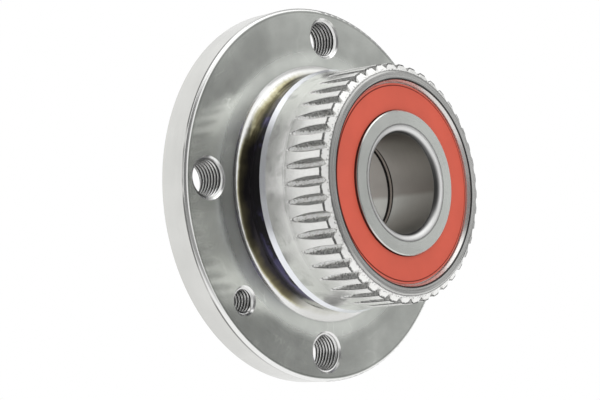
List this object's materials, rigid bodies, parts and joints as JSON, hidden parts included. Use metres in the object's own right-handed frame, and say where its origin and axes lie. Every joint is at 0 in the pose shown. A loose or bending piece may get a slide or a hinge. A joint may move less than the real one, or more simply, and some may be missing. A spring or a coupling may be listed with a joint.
{
  "type": "wheel hub bearing",
  "caption": "Flanged hub bearing: two ball rows carry a wheel flange with tapped holes, a neck and a toothed drum around a plain spindle bore, sealed by red rubber rings.",
  "frame": {"origin": "centre of the spindle bore, on the plane where the two inner rings meet", "axes": "+Y along the axis of rotation towards the wheel side, so the toothed end faces -Y; +Z through the centre of a wheel-bolt hole"},
  "size_m": [0.1158, 0.0554, 0.1158],
  "materials": {
    "hub_steel": "turned and ground steel",
    "ring_steel": "fine ground steel",
    "ball_steel": "polished",
    "clip_steel": "spring steel strip",
    "seal_sheet": "pressed sheet",
    "seal_rubber": "moulded, satin",
    "cage_plastic": "moulded, glass filled"
  },
  "bodies": {
    "inner_rings": {"inner_ring_inboard": "ring_steel", "inner_ring_outboard": "ring_steel", "ring_clip": "clip_steel"},
    "hub": {"hub": "hub_steel", "seal_case_inboard": "seal_sheet", "seal_rubber_inboard": "seal_rubber", "seal_case_outboard": "seal_sheet", "seal_rubber_outboard": "seal_rubber"},
    "ball_cage_inboard": {"ball_cage_inboard": "cage_plastic"},
    "ball_inboard_01": {"ball_inboard_01": "ball_steel"},
    "ball_inboard_02": {"ball_inboard_02": "ball_steel"},
    "ball_inboard_03": {"ball_inboard_03": "ball_steel"},
    "ball_inboard_04": {"ball_inboard_04": "ball_steel"},
    "ball_inboard_05": {"ball_inboard_05": "ball_steel"},
    "ball_inboard_06": {"ball_inboard_06": "ball_steel"},
    "ball_inboard_07": {"ball_inboard_07": "ball_steel"},
    "ball_inboard_08": {"ball_inboard_08": "ball_steel"},
    "ball_inboard_09": {"ball_inboard_09": "ball_steel"},
    "ball_inboard_10": {"ball_inboard_10": "ball_steel"},
    "ball_inboard_11": {"ball_inboard_11": "ball_steel"},
    "ball_inboard_12": {"ball_inboard_12": "ball_steel"},
    "ball_inboard_13": {"ball_inboard_13": "ball_steel"},
    "ball_cage_outboard": {"ball_cage_outboard": "cage_plastic"},
    "ball_outboard_01": {"ball_outboard_01": "ball_steel"},
    "ball_outboard_02": {"ball_outboard_02": "ball_steel"},
    "ball_outboard_03": {"ball_outboard_03": "ball_steel"},
    "ball_outboard_04": {"ball_outboard_04": "ball_steel"},
    "ball_outboard_05": {"ball_outboard_05": "ball_steel"},
    "ball_outboard_06": {"ball_outboard_06": "ball_steel"},
    "ball_outboard_07": {"ball_outboard_07": "ball_steel"},
    "ball_outboard_08": {"ball_outboard_08": "ball_steel"},
    "ball_outboard_09": {"ball_outboard_09": "ball_steel"},
    "ball_outboard_10": {"ball_outboard_10": "ball_steel"},
    "ball_outboard_11": {"ball_outboard_11": "ball_steel"},
    "ball_outboard_12": {"ball_outboard_12": "ball_steel"},
    "ball_outboard_13": {"ball_outboard_13": "ball_steel"}
  },
  "joints": [
    {"name": "hub_spin", "type": "hinge", "parent": "inner_rings", "child": "hub", "pos_m": [0, 0, 0], "axis": [0, 1, 0], "continuous": true},
    {"name": "cage_spin_inboard", "type": "hinge", "parent": "inner_rings", "child": "ball_cage_inboard", "pos_m": [0, -0.0075, 0], "axis": [0, 1, 0], "continuous": true},
    {"name": "spin_ball_inboard_01", "type": "hinge", "parent": "ball_cage_inboard", "child": "ball_inboard_01", "pos_m": [0.0225, -0.0075, 0], "axis": [-0.6157, 0.788, 0], "continuous": true},
    {"name": "spin_ball_inboard_02", "type": "hinge", "parent": "ball_cage_inboard", "child": "ball_inboard_02", "pos_m": [0.01992, -0.0075, 0.01046], "axis": [-0.5451, 0.788, -0.2861], "continuous": true},
    {"name": "spin_ball_inboard_03", "type": "hinge", "parent": "ball_cage_inboard", "child": "ball_inboard_03", "pos_m": [0.01278, -0.0075, 0.01852], "axis": [-0.3497, 0.788, -0.5067], "continuous": true},
    {"name": "spin_ball_inboard_04", "type": "hinge", "parent": "ball_cage_inboard", "child": "ball_inboard_04", "pos_m": [0.00271, -0.0075, 0.02234], "axis": [-0.0742, 0.788, -0.6112], "continuous": true},
    {"name": "spin_ball_inboard_05", "type": "hinge", "parent": "ball_cage_inboard", "child": "ball_inboard_05", "pos_m": [-0.00798, -0.0075, 0.02104], "axis": [0.2183, 0.788, -0.5757], "continuous": true},
    {"name": "spin_ball_inboard_06", "type": "hinge", "parent": "ball_cage_inboard", "child": "ball_inboard_06", "pos_m": [-0.01684, -0.0075, 0.01492], "axis": [0.4608, 0.788, -0.4083], "continuous": true},
    {"name": "spin_ball_inboard_07", "type": "hinge", "parent": "ball_cage_inboard", "child": "ball_inboard_07", "pos_m": [-0.02185, -0.0075, 0.00538], "axis": [0.5978, 0.788, -0.1473], "continuous": true},
    {"name": "spin_ball_inboard_08", "type": "hinge", "parent": "ball_cage_inboard", "child": "ball_inboard_08", "pos_m": [-0.02185, -0.0075, -0.00538], "axis": [0.5978, 0.788, 0.1473], "continuous": true},
    {"name": "spin_ball_inboard_09", "type": "hinge", "parent": "ball_cage_inboard", "child": "ball_inboard_09", "pos_m": [-0.01684, -0.0075, -0.01492], "axis": [0.4608, 0.788, 0.4083], "continuous": true},
    {"name": "spin_ball_inboard_10", "type": "hinge", "parent": "ball_cage_inboard", "child": "ball_inboard_10", "pos_m": [-0.00798, -0.0075, -0.02104], "axis": [0.2183, 0.788, 0.5757], "continuous": true},
    {"name": "spin_ball_inboard_11", "type": "hinge", "parent": "ball_cage_inboard", "child": "ball_inboard_11", "pos_m": [0.00271, -0.0075, -0.02234], "axis": [-0.0742, 0.788, 0.6112], "continuous": true},
    {"name": "spin_ball_inboard_12", "type": "hinge", "parent": "ball_cage_inboard", "child": "ball_inboard_12", "pos_m": [0.01278, -0.0075, -0.01852], "axis": [-0.3497, 0.788, 0.5067], "continuous": true},
    {"name": "spin_ball_inboard_13", "type": "hinge", "parent": "ball_cage_inboard", "child": "ball_inboard_13", "pos_m": [0.01992, -0.0075, -0.01046], "axis": [-0.5451, 0.788, 0.2861], "continuous": true},
    {"name": "cage_spin_outboard", "type": "hinge", "parent": "inner_rings", "child": "ball_cage_outboard", "pos_m": [0, 0.0075, 0], "axis": [0, 1, 0], "continuous": true},
    {"name": "spin_ball_outboard_01", "type": "hinge", "parent": "ball_cage_outboard", "child": "ball_outboard_01", "pos_m": [0.0225, 0.0075, 0], "axis": [0.6157, 0.788, 0], "continuous": true},
    {"name": "spin_ball_outboard_02", "type": "hinge", "parent": "ball_cage_outboard", "child": "ball_outboard_02", "pos_m": [0.01992, 0.0075, 0.01046], "axis": [0.5451, 0.788, 0.2861], "continuous": true},
    {"name": "spin_ball_outboard_03", "type": "hinge", "parent": "ball_cage_outboard", "child": "ball_outboard_03", "pos_m": [0.01278, 0.0075, 0.01852], "axis": [0.3497, 0.788, 0.5067], "continuous": true},
    {"name": "spin_ball_outboard_04", "type": "hinge", "parent": "ball_cage_outboard", "child": "ball_outboard_04", "pos_m": [0.00271, 0.0075, 0.02234], "axis": [0.0742, 0.788, 0.6112], "continuous": true},
    {"name": "spin_ball_outboard_05", "type": "hinge", "parent": "ball_cage_outboard", "child": "ball_outboard_05", "pos_m": [-0.00798, 0.0075, 0.02104], "axis": [-0.2183, 0.788, 0.5757], "continuous": true},
    {"name": "spin_ball_outboard_06", "type": "hinge", "parent": "ball_cage_outboard", "child": "ball_outboard_06", "pos_m": [-0.01684, 0.0075, 0.01492], "axis": [-0.4608, 0.788, 0.4083], "continuous": true},
    {"name": "spin_ball_outboard_07", "type": "hinge", "parent": "ball_cage_outboard", "child": "ball_outboard_07", "pos_m": [-0.02185, 0.0075, 0.00538], "axis": [-0.5978, 0.788, 0.1473], "continuous": true},
    {"name": "spin_ball_outboard_08", "type": "hinge", "parent": "ball_cage_outboard", "child": "ball_outboard_08", "pos_m": [-0.02185, 0.0075, -0.00538], "axis": [-0.5978, 0.788, -0.1473], "continuous": true},
    {"name": "spin_ball_outboard_09", "type": "hinge", "parent": "ball_cage_outboard", "child": "ball_outboard_09", "pos_m": [-0.01684, 0.0075, -0.01492], "axis": [-0.4608, 0.788, -0.4083], "continuous": true},
    {"name": "spin_ball_outboard_10", "type": "hinge", "parent": "ball_cage_outboard", "child": "ball_outboard_10", "pos_m": [-0.00798, 0.0075, -0.02104], "axis": [-0.2183, 0.788, -0.5757], "continuous": true},
    {"name": "spin_ball_outboard_11", "type": "hinge", "parent": "ball_cage_outboard", "child": "ball_outboard_11", "pos_m": [0.00271, 0.0075, -0.02234], "axis": [0.0742, 0.788, -0.6112], "continuous": true},
    {"name": "spin_ball_outboard_12", "type": "hinge", "parent": "ball_cage_outboard", "child": "ball_outboard_12", "pos_m": [0.01278, 0.0075, -0.01852], "axis": [0.3497, 0.788, -0.5067], "continuous": true},
    {"name": "spin_ball_outboard_13", "type": "hinge", "parent": "ball_cage_outboard", "child": "ball_outboard_13", "pos_m": [0.01992, 0.0075, -0.01046], "axis": [0.5451, 0.788, -0.2861], "continuous": true}
  ],
  "couplings": [
    {"joint": "cage_spin_inboard", "follows": "hub_spin", "ratio": 0.57644},
    {"joint": "spin_ball_inboard_01", "follows": "hub_spin", "ratio": 2.5171},
    {"joint": "spin_ball_inboard_02", "follows": "hub_spin", "ratio": 2.5171},
    {"joint": "spin_ball_inboard_03", "follows": "hub_spin", "ratio": 2.5171},
    {"joint": "spin_ball_inboard_04", "follows": "hub_spin", "ratio": 2.5171},
    {"joint": "spin_ball_inboard_05", "follows": "hub_spin", "ratio": 2.5171},
    {"joint": "spin_ball_inboard_06", "follows": "hub_spin", "ratio": 2.5171},
    {"joint": "spin_ball_inboard_07", "follows": "hub_spin", "ratio": 2.5171},
    {"joint": "spin_ball_inboard_08", "follows": "hub_spin", "ratio": 2.5171},
    {"joint": "spin_ball_inboard_09", "follows": "hub_spin", "ratio": 2.5171},
    {"joint": "spin_ball_inboard_10", "follows": "hub_spin", "ratio": 2.5171},
    {"joint": "spin_ball_inboard_11", "follows": "hub_spin", "ratio": 2.5171},
    {"joint": "spin_ball_inboard_12", "follows": "hub_spin", "ratio": 2.5171},
    {"joint": "spin_ball_inboard_13", "follows": "hub_spin", "ratio": 2.5171},
    {"joint": "cage_spin_outboard", "follows": "hub_spin", "ratio": 0.57644},
    {"joint": "spin_ball_outboard_01", "follows": "hub_spin", "ratio": 2.5171},
    {"joint": "spin_ball_outboard_02", "follows": "hub_spin", "ratio": 2.5171},
    {"joint": "spin_ball_outboard_03", "follows": "hub_spin", "ratio": 2.5171},
    {"joint": "spin_ball_outboard_04", "follows": "hub_spin", "ratio": 2.5171},
    {"joint": "spin_ball_outboard_05", "follows": "hub_spin", "ratio": 2.5171},
    {"joint": "spin_ball_outboard_06", "follows": "hub_spin", "ratio": 2.5171},
    {"joint": "spin_ball_outboard_07", "follows": "hub_spin", "ratio": 2.5171},
    {"joint": "spin_ball_outboard_08", "follows": "hub_spin", "ratio": 2.5171},
    {"joint": "spin_ball_outboard_09", "follows": "hub_spin", "ratio": 2.5171},
    {"joint": "spin_ball_outboard_10", "follows": "hub_spin", "ratio": 2.5171},
    {"joint": "spin_ball_outboard_11", "follows": "hub_spin", "ratio": 2.5171},
    {"joint": "spin_ball_outboard_12", "follows": "hub_spin", "ratio": 2.5171},
    {"joint": "spin_ball_outboard_13", "follows": "hub_spin", "ratio": 2.5171}
  ]
}
